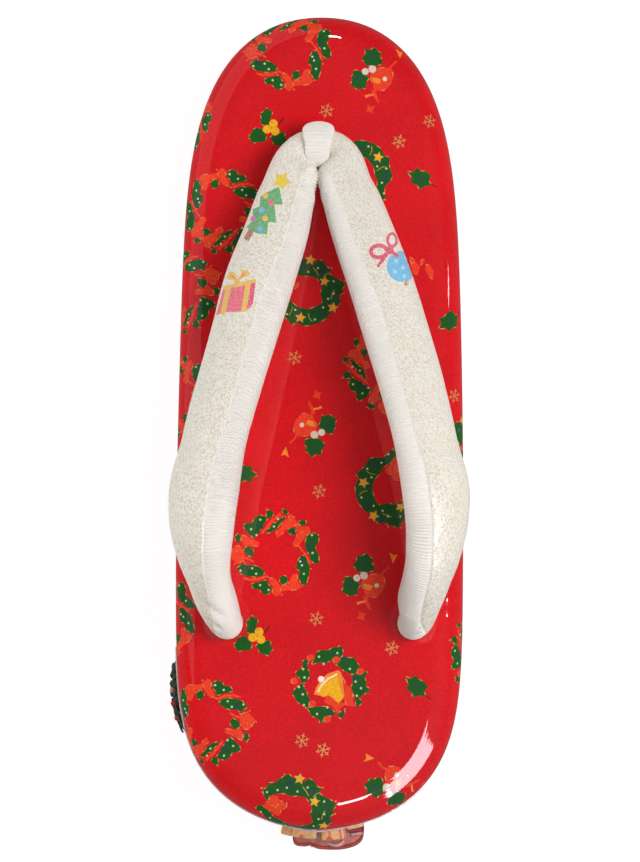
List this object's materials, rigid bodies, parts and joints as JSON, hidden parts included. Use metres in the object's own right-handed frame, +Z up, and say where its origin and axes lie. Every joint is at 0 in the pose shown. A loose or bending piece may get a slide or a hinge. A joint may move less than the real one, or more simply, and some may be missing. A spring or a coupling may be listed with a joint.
{
  "type": "zori sandal",
  "caption": "Left-foot zori sandal: padded glossy printed footbed on a wrapped heeled platform with rubber soles, a padded V strap under a front loop, and small resin ornaments at the heel.",
  "frame": {"origin": "on the ground under the middle of the heel lift, on the sole's centre line, 202 mm behind the toe tip", "axes": "+Z up, -Y towards the toe, +X towards the wearer's outer (left) side"},
  "size_m": [0.0879, 0.2453, 0.0796],
  "materials": {
    "printed_cover": "gloss",
    "sole_rubber": "matte",
    "lame_cloth": "satin",
    "ribbed_lining": "matte",
    "green_resin": "gloss",
    "red_resin": "gloss",
    "rosewood_resin": "gloss",
    "tan_resin": "gloss",
    "pale_resin": "gloss"
  },
  "bodies": {
    "root": {"footbed": "printed_cover", "platform": "printed_cover", "forefoot_outsole": "sole_rubber", "heel_lift": "sole_rubber", "hanao_strap": "lame_cloth", "front_loop": "ribbed_lining", "wreath_ornament": "green_resin", "heel_sleigh": "rosewood_resin", "gift_box_outer": "tan_resin", "gift_box_tall": "tan_resin", "gift_box_square": "tan_resin", "gift_box_inner": "tan_resin"}
  },
  "joints": []
}
